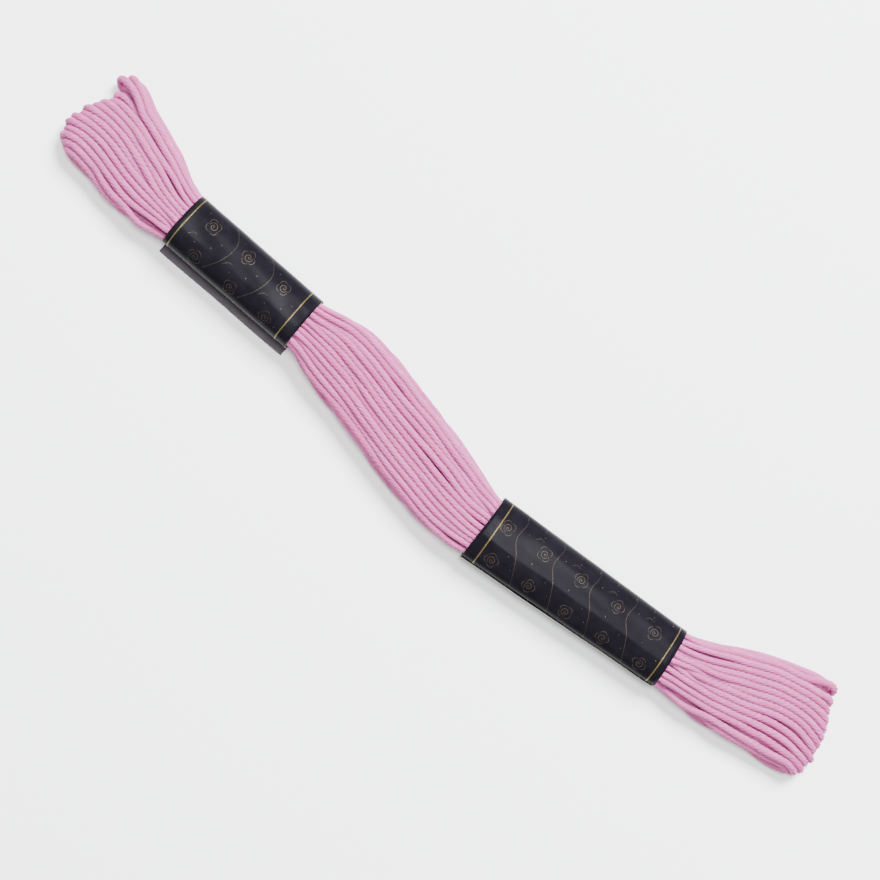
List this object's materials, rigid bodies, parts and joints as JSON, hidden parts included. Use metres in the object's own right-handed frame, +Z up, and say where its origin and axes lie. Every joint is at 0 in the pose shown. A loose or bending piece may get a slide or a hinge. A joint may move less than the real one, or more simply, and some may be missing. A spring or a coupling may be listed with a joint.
{
  "type": "skein of embroidery floss",
  "caption": "Flat skein of soft cotton embroidery floss, wound to and fro and held by a short and a long printed paper band, with fanned end loops.",
  "frame": {"origin": "middle of the skein's footprint, on the surface it lies on", "axes": "+X along the skein from its short band to its long band, +Y across it, +Z up"},
  "size_m": [0.1621, 0.025, 0.0066],
  "materials": {
    "floss": "soft mercerised cotton with a gentle sheen",
    "band_paper": "coated black paper with fine gold print"
  },
  "bodies": {
    "root": {"floss_hank": "floss", "band_short": "band_paper", "band_long": "band_paper"}
  },
  "joints": []
}
